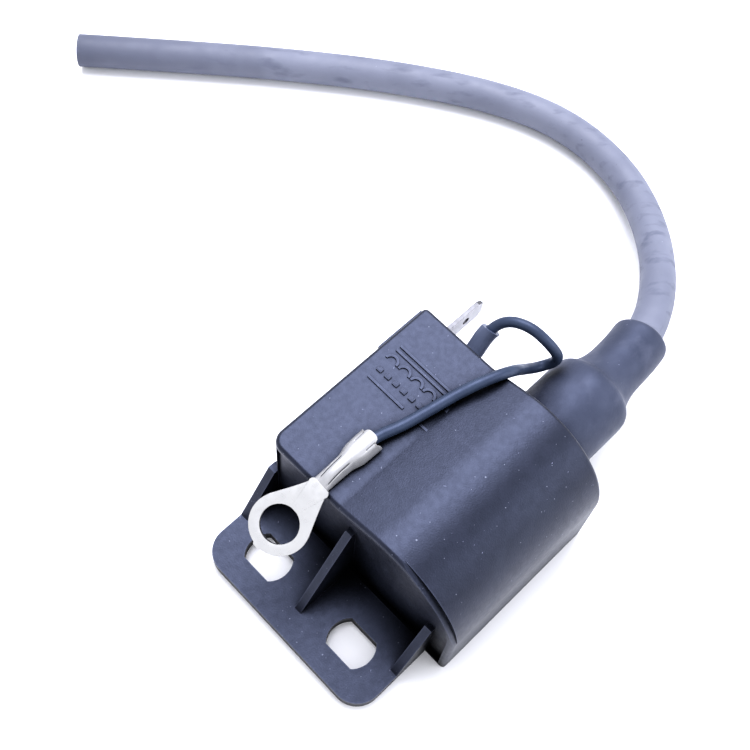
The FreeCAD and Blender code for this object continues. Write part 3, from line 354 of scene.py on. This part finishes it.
SURFACES = {
    "housing_plastic": dict(
        colour=(0.0035, 0.0042, 0.008), shade=(0.0075, 0.0085, 0.015), rough=(0.385, 0.445),
        mottle=(420.0, 0.38, 0.66), grain=(3400.0, 2.6e-5),
        constants={"Specular Tint": SLATE_TINT, "Specular IOR Level": 0.6},
        smudges=[(2.5, SHORT_TURN, 110.0, 0.58, 0.74, (0.015, 0.018, 0.027))],
        specks=[(0.0010, 0.40, 0.00011, DUST), (0.0017, 0.25, 0.00018, DUST)],
        scratches=[(9.0, SHORT_TURN, 0.0010, 0.3, 0.00008, SCUFF),
                   (7.0, LONG_TURN, 0.0011, 0.3, 0.00007, SCUFF)],
        edge_wear_and_shade=(0.0004, 0.45, (0.08, 0.09, 0.13)), pocket_shade=(0.008, 0.36, 0.88, 0.07)),
    "boot_rubber": dict(
        colour=(0.026, 0.031, 0.050), shade=(0.038, 0.044, 0.068), rough=(0.48, 0.60),
        mottle=(150.0, 0.35, 0.65), grain=(2100.0, 3.0e-5),
        constants={"Specular Tint": SLATE_TINT, "Specular IOR Level": 0.6},
        smudges=[(1.5, LEVEL, 260.0, 0.56, 0.72, (0.052, 0.058, 0.084))],
        specks=[(0.0012, 0.25, 0.00010, DUST), (0.0022, 0.16, 0.00016, DUST)],
        scratches=[(7.0, LONG_TURN, 0.0011, 0.3, 0.00008, SCUFF)], pocket_shade=(0.010, 0.45, 0.92, 0.15)),
    "lead_rubber": dict(
        colour=(0.158, 0.170, 0.226), shade=(0.130, 0.141, 0.192), rough=(0.52, 0.68),
        mottle=(95.0, 0.4, 0.66), grain=(1900.0, 2.2e-5), fade=("Y", 0.088, 0.13, (0.072, 0.080, 0.118)),
        smudges=[(3.0, ALONG_LEAD, 480.0, 0.54, 0.72, (0.100, 0.110, 0.157))],
        specks=[(0.0021, 0.16, 0.00018, (0.045, 0.05, 0.075)), (0.0015, 0.14, 0.0001, (0.4, 0.42, 0.48))]),
    "lead_sheath": dict(
        colour=(0.022, 0.032, 0.057), shade=(0.032, 0.045, 0.075), rough=(0.36, 0.48),
        mottle=(260.0, 0.35, 0.65), grain=(2600.0, 1.2e-5), constants={"Specular Tint": SLATE_TINT},
        specks=[(0.0015, 0.22, 0.00008, DUST)]),
    "sleeve_plastic": dict(
        colour=(0.078, 0.093, 0.142), shade=(0.096, 0.112, 0.165), rough=(0.34, 0.46),
        mottle=(300.0, 0.35, 0.65), grain=(2200.0, 1.6e-5), constants={"Specular Tint": SLATE_TINT}),
    "tinned_metal": dict(
        colour=(0.73, 0.73, 0.738), shade=(0.69, 0.69, 0.705), rough=(0.26, 0.38), metallic=1.0,
        mottle=(420.0, 0.4, 0.75), grain=(2600.0, 0.9e-5),
        specks=[(0.0016, 0.12, 0.00009, (0.45, 0.45, 0.47))],
        scratches=[(8.0, SHORT_TURN, 0.0008, 0.35, 0.00003, (0.45, 0.45, 0.47))],
        edge_wear_and_shade=(0.0002, 0.5, (0.42, 0.40, 0.38))),
    # the spade's tin: its dark side faces are painted shade that outlines the blade
    "dull_tin": dict(
        colour=(0.53, 0.53, 0.552), shade=(0.48, 0.48, 0.505), rough=(0.42, 0.52), metallic=1.0,
        mottle=(420.0, 0.4, 0.75), grain=(2200.0, 1.0e-5), side_shade=("Y", (0.14, 0.14, 0.15)),
        scratches=[(8.0, LEVEL, 0.0008, 0.35, 0.00003, (0.28, 0.28, 0.3))],
        # the dark band along the blade's edges is painted shade
        edge_wear_and_shade=(0.00025, 0.8, (0.16, 0.16, 0.17))),
    "crimp_metal": dict(
        colour=(0.40, 0.40, 0.41), shade=(0.36, 0.36, 0.372), rough=(0.42, 0.52), metallic=0.5,
        mottle=(600.0, 0.4, 0.75), grain=(2600.0, 0.9e-5), edge_wear_and_shade=(0.0002, 0.4, (0.42, 0.40, 0.38))),
    # painted shade for the faces in the crimp's deep grooves
    "crimp_groove_shade": dict(
        colour=(0.24, 0.24, 0.25), shade=(0.15, 0.15, 0.16), rough=(0.5, 0.6), metallic=1.0,
        mottle=(900.0, 0.4, 0.7), grain=(2600.0, 1.2e-5)),
    "copper": dict(
        colour=(0.78, 0.40, 0.24), shade=(0.56, 0.26, 0.15), rough=(0.25, 0.4), metallic=1.0,
        mottle=(500.0, 0.4, 0.7), grain=(3000.0, 0.8e-5), wave=(900.0, "X", 6e-5)),
    "brass": dict(
        colour=(0.78, 0.62, 0.32), shade=(0.60, 0.46, 0.22), rough=(0.25, 0.42), metallic=1.0,
        mottle=(350.0, 0.4, 0.7), grain=(2600.0, 0.9e-5)),
    "resin": dict(
        colour=(0.016, 0.017, 0.02), shade=(0.028, 0.03, 0.036), rough=(0.16, 0.34),
        mottle=(55.0, 0.4, 0.7), grain=(420.0, 9e-5), specks=[(0.0035, 0.3, 0.00035, (0.05, 0.052, 0.06))]),
    "core_steel": dict(
        colour=(0.42, 0.42, 0.44), shade=(0.27, 0.25, 0.24), rough=(0.34, 0.5), metallic=1.0,
        mottle=(300.0, 0.45, 0.75), grain=(2400.0, 1.2e-5),
        scratches=[(9.0, LEVEL, 0.0012, 0.4, 0.00004, (0.2, 0.19, 0.18))]),
    "bobbin_plastic": dict(
        colour=(0.78, 0.75, 0.66), shade=(0.70, 0.66, 0.56), rough=(0.42, 0.54),
        mottle=(160.0, 0.4, 0.7), grain=(2600.0, 1.4e-5)),
    "insulating_film": dict(
        colour=(0.72, 0.5, 0.17), shade=(0.6, 0.38, 0.12), rough=(0.16, 0.3),
        mottle=(200.0, 0.4, 0.7), grain=(900.0, 2e-5)),
    "enamelled_wire": dict(
        colour=(0.46, 0.16, 0.07), shade=(0.3, 0.09, 0.04), rough=(0.2, 0.34),
        mottle=(420.0, 0.4, 0.7), grain=(2600.0, 0.8e-5), wave=(2400.0, "X", 4e-5)),
    "board": dict(
        colour=(0.34, 0.27, 0.12), shade=(0.26, 0.2, 0.09), rough=(0.42, 0.56),
        mottle=(240.0, 0.4, 0.7), grain=(1400.0, 2e-5), wave=(1500.0, "Y", 1.2e-5)),
    "capacitor_case": dict(
        colour=(0.5, 0.07, 0.045), shade=(0.38, 0.05, 0.035), rough=(0.2, 0.34),
        mottle=(180.0, 0.4, 0.7), grain=(700.0, 4e-5)),
    "component_black": dict(
        colour=(0.028, 0.029, 0.031), shade=(0.04, 0.041, 0.044), rough=(0.4, 0.54),
        mottle=(300.0, 0.4, 0.7), grain=(3200.0, 1.6e-5)),
    "resistor_body": dict(
        colour=(0.7, 0.58, 0.4), shade=(0.6, 0.48, 0.31), rough=(0.24, 0.38),
        mottle=(260.0, 0.4, 0.7), grain=(1500.0, 1.8e-5)),
}
FINISHES = {name: finish(name, **surface) for name, surface in SURFACES.items()}


def dress(piece, slot):
    """Give a piece the finish of one material slot."""
    piece.data.materials.clear()
    piece.data.materials.append(FINISHES[slot])


# ---------------------------------------------------------------- carried-over nodes

CREASE = math.radians(32.0)
NEARLY_FLAT = math.radians(0.4)     # faces that meet at less than this count as one flat face
WELD_DISTANCE = 1e-6
ROUNDED_EDGES = {"housing": 0.00018, "spade_terminal": 0.00008}
OWN_FINISH = {"spade_terminal": "dull_tin"}      # nodes that don't take the finish of their slot


def round_edges(piece, width, angle):
    """A small round along the edges that are sharper than the angle."""
    bevel = piece.modifiers.new("rounded_edges", "BEVEL")
    bevel.width = width
    bevel.segments = 2
    bevel.limit_method = "ANGLE"
    bevel.angle_limit = angle


def split_creases(piece, angle):
    """Creases in the smooth shading, along the edges that are sharper than the angle."""
    creases = piece.modifiers.new("creases", "EDGE_SPLIT")
    creases.split_angle = angle
    creases.use_edge_sharp = False


def soften(node):
    """Smooth shading with creases, and a small round along the sharp edges of the pieces that show them."""
    mesh = node.data
    for shading in ("custom_normal", "sharp_edge"):
        if shading in mesh.attributes:
            mesh.attributes.remove(mesh.attributes[shading])
    mesh.polygons.foreach_set("use_smooth", [True] * len(mesh.polygons))
    weld = node.modifiers.new("weld", "WELD")
    weld.merge_threshold = WELD_DISTANCE
    if node.name in ROUNDED_EDGES:
        flat = node.modifiers.new("flat_faces", "DECIMATE")
        flat.decimate_type = "DISSOLVE"
        flat.angle_limit = NEARLY_FLAT
        round_edges(node, ROUNDED_EDGES[node.name], CREASE)
    split_creases(node, CREASE)
    level = node.modifiers.new("level_faces", "WEIGHTED_NORMAL")
    level.weight = 80


for node in NODES.values():
    slot = node.material_slots[0].material.name.split(".")[0]
    dress(node, OWN_FINISH.get(node.name, slot))
    soften(node)


# ---------------------------------------------------------------- small mesh helpers

def level_axes(out):
    """Two directions square to the given one: a level one, and the one that rises from it."""
    side = Vector((0, 0, 1)).cross(out).normalized()
    return side, out.cross(side)


def vertex_ring(shape, middle, axes, radius, count):
    """New vertices, evenly round a circle."""
    side, up = axes
    ring = []
    for step in range(count):
        angle = 2 * math.pi * step / count
        ring.append(shape.verts.new(middle + (side * math.cos(angle) + up * math.sin(angle)) * radius))
    return ring


def join_rings(shape, before, after):
    """A band of faces between two rings with the same number of vertices."""
    count = len(before)
    faces = []
    for step in range(count):
        following = (step + 1) % count
        faces.append(shape.faces.new((before[step], before[following], after[following], after[step])))
    return faces


def make_piece(name, shape, smooth):
    """An object in the scene, with the shape as its mesh."""
    mesh = bpy.data.meshes.new(name)
    shape.to_mesh(mesh)
    shape.free()
    mesh.polygons.foreach_set("use_smooth", [smooth] * len(mesh.polygons))
    piece = bpy.data.objects.new(name, mesh)
    SCENE.collection.objects.link(piece)
    return piece


# ---------------------------------------------------------------- ring terminal

RING_CENTRE = Vector((0.0011, 0.00795, 0.0250))
RING_NECK = Vector((0.0096, 0.0071, 0.02905))
RING_ROLL = math.radians(14.0)      # the ring's face leans towards the bulge
RING_RADIUS, EYE_RADIUS, SHEET = 0.0052, 0.00335, 0.0008
RING_STEPS = 72
TONGUE_SIDE = [   # in millimetres along and across the tongue, from the ring to its shoulders
    (2.1, 4.78), (3.2, 4.25), (4.3, 3.72), (5.4, 3.2), (6.6, 2.66), (7.6, 2.22), (8.35, 1.93), (8.75, 2.06),
    (9.1, 1.98), (9.5, 1.62),
]
STUB_FROM, STUB_TO = 172.0, 188.0   # degrees round the ring where it was cut from its carrier strip
STUB_REACH = 0.00028                # how far the stub of the carrier stands out

# the crimp's own lengths, from here to THROAT_STEP, are in millimetres
CRIMP_SIDE = 7.3                    # Y of the crimp's middle line
Station = namedtuple("Station", "x foot top width roll groove")     # roll in degrees, groove a depth
BARREL = [                          # from the tongue to the wire
    Station(7.4, 27.75, 28.35, 2.9, 14.0, 0.0),
    Station(8.8, 28.20, 29.12, 3.05, 13.0, 0.0),
    Station(9.8, 28.20, 29.62, 3.1, 10.0, 0.08),
    Station(10.3, 28.18, 29.88, 3.1, 8.0, 0.26),
    Station(11.0, 28.15, 30.22, 3.1, 5.0, 0.34),
    Station(12.0, 28.15, 30.55, 3.15, 2.0, 0.40),
    Station(13.2, 28.15, 30.74, 3.2, 0.0, 0.42),
    Station(14.4, 28.15, 30.82, 3.25, 0.0, 0.40),
    Station(15.0, 28.15, 30.86, 3.35, 0.0, 0.20),
    Station(15.6, 28.15, 30.92, 3.65, 0.0, 0.02),
    Station(16.4, 28.15, 31.05, 4.15, 0.0, 0.0),
    Station(17.2, 28.15, 31.18, 4.5, 0.0, 0.06),
    Station(18.4, 28.15, 31.25, 4.6, 0.0, 0.20),
    Station(20.4, 28.15, 31.25, 4.7, 0.0, 0.24),
]
BARREL_HALF = [   # half of the section, as shares of its width and height, from the foot round to the top
    (0.10, 0.0), (0.26, 0.0), (0.39, 0.02), (0.47, 0.09), (0.50, 0.20), (0.495, 0.34), (0.465, 0.50),
    (0.415, 0.66), (0.355, 0.80), (0.315, 0.875), (0.285, 0.91), (0.255, 0.935), (0.18, 0.975), (0.09, 1.0),
]
GROOVE_POINT = 10                   # the point of the half section that dips into the groove
GROOVE_LIP = 0.35                   # how far the points beside it dip, as a share of the groove's depth
GROOVE_SHADOW = 0.15                # depth from which a groove gets painted shade
LIP_STEP = 0.3                      # from the last section on to the lip of the open end
LIP_OPENING = 0.80                  # size of the opening at the lip, as a share of the outside
LIP_REACH = (                       # how far each point of the half section stands out or back at the lip
    0.25, 0.3, 0.35, 0.4, 0.45, 0.4, 0.2, -0.25, -0.65, -0.5, -0.1, 0.3, 0.55, 0.6,
)
THROAT_STEP = -1.6                  # from the last section back to the bottom of the opening
THROAT_OPENING = 0.72

TERMINAL_FINISHES = ["tinned_metal", "crimp_metal", "crimp_groove_shade"]    # plate, barrel, and painted shade in the barrel's grooves
STAMPED_EDGE = 0.00012
STAMPED_ANGLE = math.radians(50.0)
TERMINAL_CREASE = math.radians(38.0)


def ring_directions():
    """The terminal's own axes: along its tongue, across it, and out of its face."""
    along = (RING_NECK - RING_CENTRE).normalized()
    level, upward = level_axes(along)
    across = level * math.cos(RING_ROLL) + upward * math.sin(RING_ROLL)
    return along, across, along.cross(across)


def ring_outline():
    """The plate's outline in its own plane, anticlockwise from the middle of the tongue's end."""
    side = [(x * MILLIMETRE, y * MILLIMETRE) for x, y in TONGUE_SIDE]
    start = math.atan2(side[0][1], side[0][0])
    arc = []
    for step in range(1, RING_STEPS):
        angle = start + (2 * math.pi - 2 * start) * step / RING_STEPS
        on_stub = STUB_FROM < math.degrees(angle) < STUB_TO
        reach = RING_RADIUS + (STUB_REACH if on_stub else 0.0)
        arc.append((reach * math.cos(angle), reach * math.sin(angle)))
    return list(reversed(side)) + arc + [(x, -y) for x, y in side]


def add_plate(shape):
    """The flat ring and its tongue, as a sheet with a round eye."""
    along, across, out = ring_directions()
    outer = ring_outline()
    angles = [math.atan2(y, x) for x, y in outer]
    eye = [(EYE_RADIUS * math.cos(angle), EYE_RADIUS * math.sin(angle)) for angle in angles]
    face, back = SHEET / 2, -SHEET / 2
    rings = []
    for edge, level in ((outer, face), (eye, face), (eye, back), (outer, back)):
        rings.append([shape.verts.new(RING_CENTRE + along * u + across * v + out * level) for u, v in edge])
    for first, second in zip(rings, rings[1:] + rings[:1]):
        join_rings(shape, first, second)


def groove_dip(index, groove):
    """How far a point of the half section dips: fully in the groove and a little just beside it."""
    if index == GROOVE_POINT:
        return groove
    return GROOVE_LIP * groove if abs(index - GROOVE_POINT) == 1 else 0.0


def barrel_ring(shape, station, share=1.0, reach=None):
    """The points round one section of the barrel, at a share of its size; reach moves each one along X."""
    height = station.top - station.foot
    middle = (station.foot + station.top) / 2
    half = []
    for index, (across, up) in enumerate(BARREL_HALF):
        rise = (up - 0.5) * height * share - groove_dip(index, station.groove)
        half.append((across * station.width * share, rise, reach[index] if reach else 0.0))
    turn = math.radians(station.roll)
    ring = []
    for side, up, shift in half + [(-side, up, shift) for side, up, shift in reversed(half)]:
        across = side * math.cos(turn) - up * math.sin(turn)
        rise = side * math.sin(turn) + up * math.cos(turn)
        place = Vector((station.x + shift, CRIMP_SIDE + across, middle + rise))
        ring.append(shape.verts.new(place * MILLIMETRE))
    return ring


def add_barrel(shape):
    """The closed barrel round the strands and the wider, open one round the wire's jacket."""
    last = BARREL[-1]
    lip = last._replace(x=last.x + LIP_STEP, groove=0.0)
    throat = last._replace(x=last.x + THROAT_STEP, groove=0.0)
    rings = [barrel_ring(shape, station) for station in BARREL]
    rings.append(barrel_ring(shape, lip, reach=LIP_REACH))
    rings.append(barrel_ring(shape, lip, LIP_OPENING, LIP_REACH))
    rings.append(barrel_ring(shape, throat, THROAT_OPENING))

    plain = TERMINAL_FINISHES.index("crimp_metal")
    groove_shade = TERMINAL_FINISHES.index("crimp_groove_shade")
    near_groove = (GROOVE_POINT - 1, GROOVE_POINT)
    mirrored = [len(rings[0]) - 2 - index for index in near_groove]
    # the faces in and beside the deeper grooves get the painted groove shade
    for step, (before, after) in enumerate(zip(rings, rings[1:])):
        ends = BARREL[step:step + 2]
        deep = len(ends) == 2 and min(station.groove for station in ends) > GROOVE_SHADOW
        for index, face in enumerate(join_rings(shape, before, after)):
            in_groove = index in near_groove or index in mirrored
            face.material_index = groove_shade if deep and in_groove else plain
    shape.faces.new(list(reversed(rings[0])))
    shape.faces.new(rings[-1])


def add_terminal():
    shape = bmesh.new()
    add_plate(shape)
    add_barrel(shape)
    bmesh.ops.recalc_face_normals(shape, faces=shape.faces)
    terminal = make_piece("ground_terminal", shape, smooth=True)
    for face_finish in TERMINAL_FINISHES:
        terminal.data.materials.append(FINISHES[face_finish])
    round_edges(terminal, STAMPED_EDGE, STAMPED_ANGLE)
    split_creases(terminal, TERMINAL_CREASE)
    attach(terminal, "root")
    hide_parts("ring_terminal")
    return terminal


terminal = add_terminal()


# ---------------------------------------------------------------- boot

BOOT_START = Vector((0.0459, -0.0098, 0.0153))       # on the rear wall, on the lead's line
BOOT_PROFILE = [   # in millimetres: distance along the lead's line from the rear wall, and radius
    (0.02, 7.9), (0.25, 8.22), (0.7, 8.3), (4.0, 8.3), (8.0, 8.3), (12.0, 8.3), (13.6, 8.28),
    (14.6, 8.15), (15.3, 7.85), (15.8, 7.4), (16.2, 6.95), (16.8, 6.55), (17.6, 6.2), (18.6, 5.88),
    (19.8, 5.62), (21.2, 5.45), (23.0, 5.40), (25.0, 5.40), (27.0, 5.42), (29.0, 5.44), (29.9, 5.42),
    (30.3, 5.32), (30.5, 5.1), (30.6, 4.7), (30.6, 4.1), (30.4, 3.66), (29.9, 3.5), (22.0, 3.5),
    (12.2, 3.5), (12.1, 6.02), (6.0, 6.02), (0.04, 6.02),
]
BOOT_SIDES = 72
BOOT_BEND_REACH = 1.5           # millimetres before and after a section over which its direction is taken
BOOT_CREASE = math.radians(60.0)


def line_of(cord):
    """The points of a cord's own line, read from its spline without its thickness."""
    bare = cord.data.copy()
    bare.bevel_depth = 0.0
    holder = bpy.data.objects.new("bare_line", bare)
    mesh = bpy.data.meshes.new_from_object(holder)
    points = [vertex.co.copy() for vertex in mesh.vertices]
    bpy.data.objects.remove(holder)
    bpy.data.curves.remove(bare)
    bpy.data.meshes.remove(mesh)
    return points


def place_on(points, distance):
    """The point at a distance along a line of points, or on its last stretch drawn out."""
    for first, second in zip(points, points[1:]):
        run = second - first
        if distance <= run.length or second is points[-1]:
            return first + run.normalized() * distance
        distance -= run.length


def add_boot():
    """The rubber boot, outside and bore, lofted along the lead from the rear wall."""
    points = [BOOT_START] + line_of(lead)
    shape = bmesh.new()
    rings = []
    for distance, radius in BOOT_PROFILE:
        middle = place_on(points, distance * MILLIMETRE)
        behind = place_on(points, max(0.0, distance - BOOT_BEND_REACH) * MILLIMETRE)
        ahead = place_on(points, (distance + BOOT_BEND_REACH) * MILLIMETRE)
        axes = level_axes((ahead - behind).normalized())
        rings.append(vertex_ring(shape, middle, axes, radius * MILLIMETRE, BOOT_SIDES))
    for before, after in zip(rings, rings[1:] + rings[:1]):
        join_rings(shape, before, after)
    bmesh.ops.recalc_face_normals(shape, faces=shape.faces)
    boot = make_piece("rubber_boot", shape, smooth=True)
    split_creases(boot, BOOT_CREASE)
    dress(boot, "boot_rubber")
    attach(boot, "root")
    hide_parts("boot")


add_boot()


# ---------------------------------------------------------------- cut end of the high-tension lead

STRAND_RADIUS = 0.00021
STRAND_SIDES = 12
STRAND_PROUD = 0.00022              # how far the strands stand out of the cut
STRAND_BURIED = 0.0006              # how far they are drawn back into the lead
TIP_CHAMFER = 0.00005               # length of a strand's tapered tip
TIP_SHARE = 0.7                     # radius at the end of the tip, as a share of the strand's
LAYER_SPACING = 2.02                # from one layer of strands to the next, in strand radii
STRAND_LAYERS = [(1, 0.0), (6, 0.0), (12, 15.0)]     # from the middle out: strands, and turn in degrees


def add_strand(shape, middle, out, axes):
    levels = [(-STRAND_BURIED, 1.0), (STRAND_PROUD - TIP_CHAMFER, 1.0), (STRAND_PROUD, TIP_SHARE)]
    rings = [vertex_ring(shape, middle + out * level, axes, STRAND_RADIUS * share, STRAND_SIDES)
             for level, share in levels]
    for before, after in zip(rings, rings[1:]):
        join_rings(shape, before, after)
    shape.faces.new(rings[-1])
    shape.faces.new(list(reversed(rings[0])))


def add_strands():
    """The ends of the lead's copper strands, in the middle of its square cut."""
    end, before = Vector(LEAD_ROUTE[-1]), Vector(LEAD_ROUTE[-2])
    out = (end - before).normalized()
    side, up = level_axes(out)
    shape = bmesh.new()
    for layer, (count, turn) in enumerate(STRAND_LAYERS):
        reach = LAYER_SPACING * STRAND_RADIUS * layer
        for index in range(count):
            angle = math.radians(turn + 360.0 * index / count)
            middle = end + (side * math.cos(angle) + up * math.sin(angle)) * reach
            add_strand(shape, middle, out, (side, up))
    bmesh.ops.recalc_face_normals(shape, faces=shape.faces)
    strands = make_piece("lead_strands", shape, smooth=False)
    dress(strands, "copper")
    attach(strands, "root")
    return strands


strands = add_strands()
dress(lead, "lead_rubber")
dress(ground, "lead_sheath")


# ---------------------------------------------------------------- floor and light

FLOOR_PLACE = (0.03, 0.03, -0.00002)     # just under the object's lowest face
FLOOR_REACH, FLOOR_CELLS = 1.5, 24
LIGHT_AIM = Vector((0.03, 0.0, 0.015))


def add_floor():
    """A pale, flat table top, larger than any view of the object."""
    shape = bmesh.new()
    bmesh.ops.create_grid(shape, x_segments=FLOOR_CELLS, y_segments=FLOOR_CELLS, size=FLOOR_REACH)
    floor = make_piece("floor", shape, smooth=False)
    floor.location = FLOOR_PLACE
    floor.data.materials.append(finish(
        "pale_floor", (0.90, 0.90, 0.915), (0.885, 0.885, 0.905), rough=(0.5, 0.6),
        mottle=(14.0, 0.3, 0.7), grain=(500.0, 8e-6)))


def add_softbox(name, direction, distance, size, power, colour):
    """A square area light that faces the middle of the object."""
    data = bpy.data.lights.new(name, "AREA")
    data.shape = "SQUARE"
    data.size = size
    data.energy = power
    data.color = colour
    lamp = bpy.data.objects.new(name, data)
    SCENE.collection.objects.link(lamp)
    away = Vector(direction).normalized()
    turn = away.to_track_quat("Z", "Y").to_matrix().to_4x4()
    lamp.matrix_world = Matrix.Translation(LIGHT_AIM + away * distance) @ turn


def add_surround(strength, colour):
    world = bpy.data.worlds.new("studio")
    world.use_nodes = True
    background = next(node for node in world.node_tree.nodes if node.type == "BACKGROUND")
    background.inputs["Color"].default_value = (*colour, 1.0)
    background.inputs["Strength"].default_value = strength
    SCENE.world = world


add_floor()
add_softbox("overhead_softbox", (0.33, 0.29, 0.90), 0.6, 0.46, 5.4, (0.90, 0.91, 1.0))
add_softbox("side_softbox", (0.5, -0.72, 0.45), 0.5, 0.3, 0.85, (0.90, 0.92, 1.0))
add_surround(1.0, (0.95, 0.96, 1.0))
SCENE.view_settings.view_transform = "Standard"
SCENE.view_settings.look = "Medium High Contrast"
